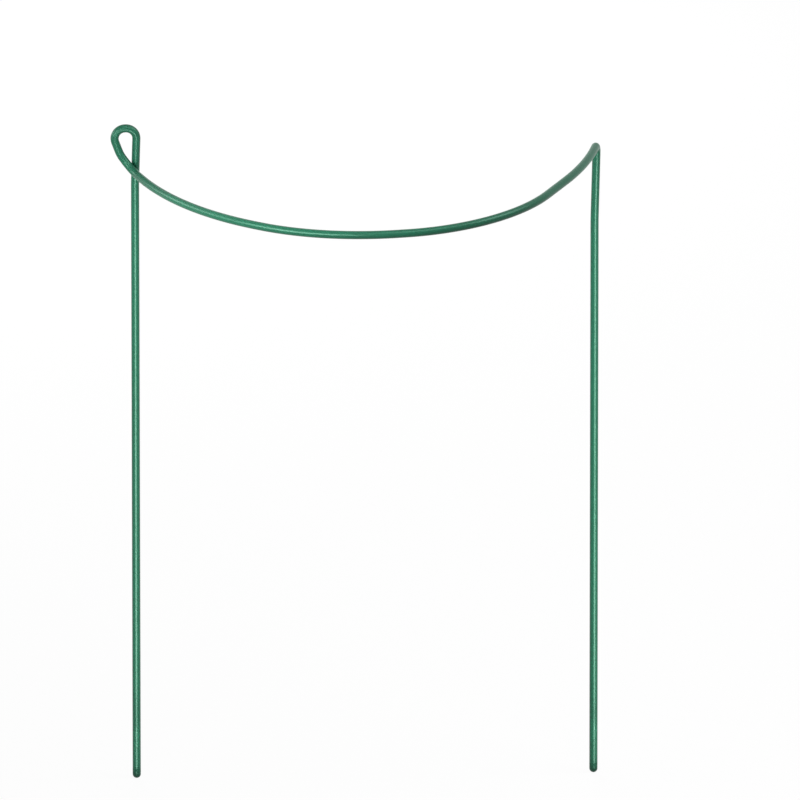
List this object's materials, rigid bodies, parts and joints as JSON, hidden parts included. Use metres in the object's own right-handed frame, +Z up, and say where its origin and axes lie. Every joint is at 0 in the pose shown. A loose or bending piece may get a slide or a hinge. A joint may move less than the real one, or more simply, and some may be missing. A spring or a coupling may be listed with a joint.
{
  "type": "half-round plant support",
  "caption": "Half-round plant support bent from plastic-coated steel wire, with long legs that push into soil, a bow that holds stems up and a teardrop eye at the left shoulder.",
  "frame": {"origin": "midway between the two leg tips, at the height of their lowest points", "axes": "+X from the left leg to the right leg, -Y out towards the front of the bow, +Z up along the legs"},
  "size_m": [0.2794, 0.1338, 0.3979],
  "materials": {
    "green_coat": "satin",
    "green_tip": "satin",
    "steel": "drawn wire"
  },
  "bodies": {
    "root": {"left_leg_coat": "green_coat", "eye_coat": "green_coat", "bow_coat": "green_coat", "shoulder_coat": "green_coat", "right_leg_coat": "green_coat", "steel_core": "steel", "left_tip": "green_tip", "right_tip": "green_tip"}
  },
  "joints": []
}
